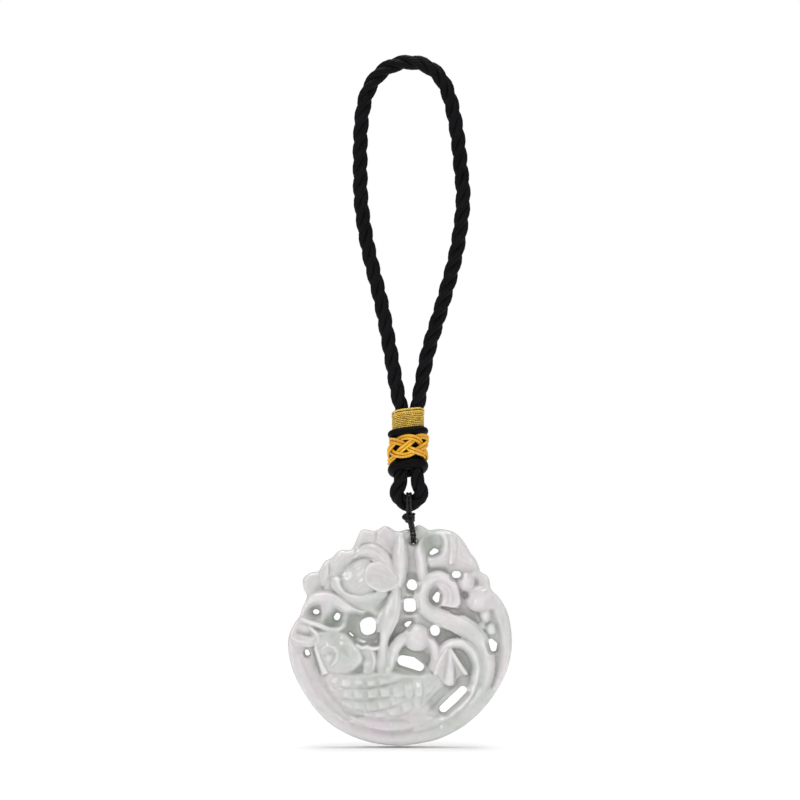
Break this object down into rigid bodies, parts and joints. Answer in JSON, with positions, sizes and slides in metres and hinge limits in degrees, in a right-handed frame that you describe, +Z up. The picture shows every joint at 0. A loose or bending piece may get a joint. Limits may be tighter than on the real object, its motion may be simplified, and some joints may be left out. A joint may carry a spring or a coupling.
{
  "type": "jadeite pendant on a rope loop",
  "caption": "Round openwork jade disc carved with a fish, flower and scrolls, hung by a knotted thread from a black twisted rope loop with a gold and yellow bound band.",
  "frame": {"origin": "underside of the top of the rope loop, where the pendant hangs", "axes": "+Z up along the hanging pendant, the carved face looks along -Y, +X to the right seen from the front"},
  "size_m": [0.056, 0.0081, 0.1727],
  "materials": {
    "black_rope": "twisted cotton and satin yarns, faint sheen",
    "gold_thread": "metallic gold thread",
    "black_cord": "smooth satin cord",
    "yellow_cord": "satin cord",
    "waxed_thread": "waxed twisted thread",
    "jade": "polished, translucent, pale lavender to grey-green"
  },
  "bodies": {
    "cord": {"rope_loop": "black_rope", "rope_eye": "black_rope", "gold_whipping": "gold_thread", "upper_collar": "black_cord", "woven_band": "yellow_cord", "lower_collar": "black_cord"},
    "tie": {"tie_thread": "waxed_thread"},
    "disc": {"jade_disc": "jade"}
  },
  "joints": [
    {"name": "thread_swing", "type": "hinge", "parent": "cord", "child": "tie", "pos_m": [0, 0, -0.1085], "axis": [1, 0, 0], "range_deg": [-75, 75]},
    {"name": "disc_swing", "type": "hinge", "parent": "tie", "child": "disc", "pos_m": [0.00105, 0, -0.1177], "axis": [0, 1, 0], "range_deg": [-30, 30]}
  ]
}
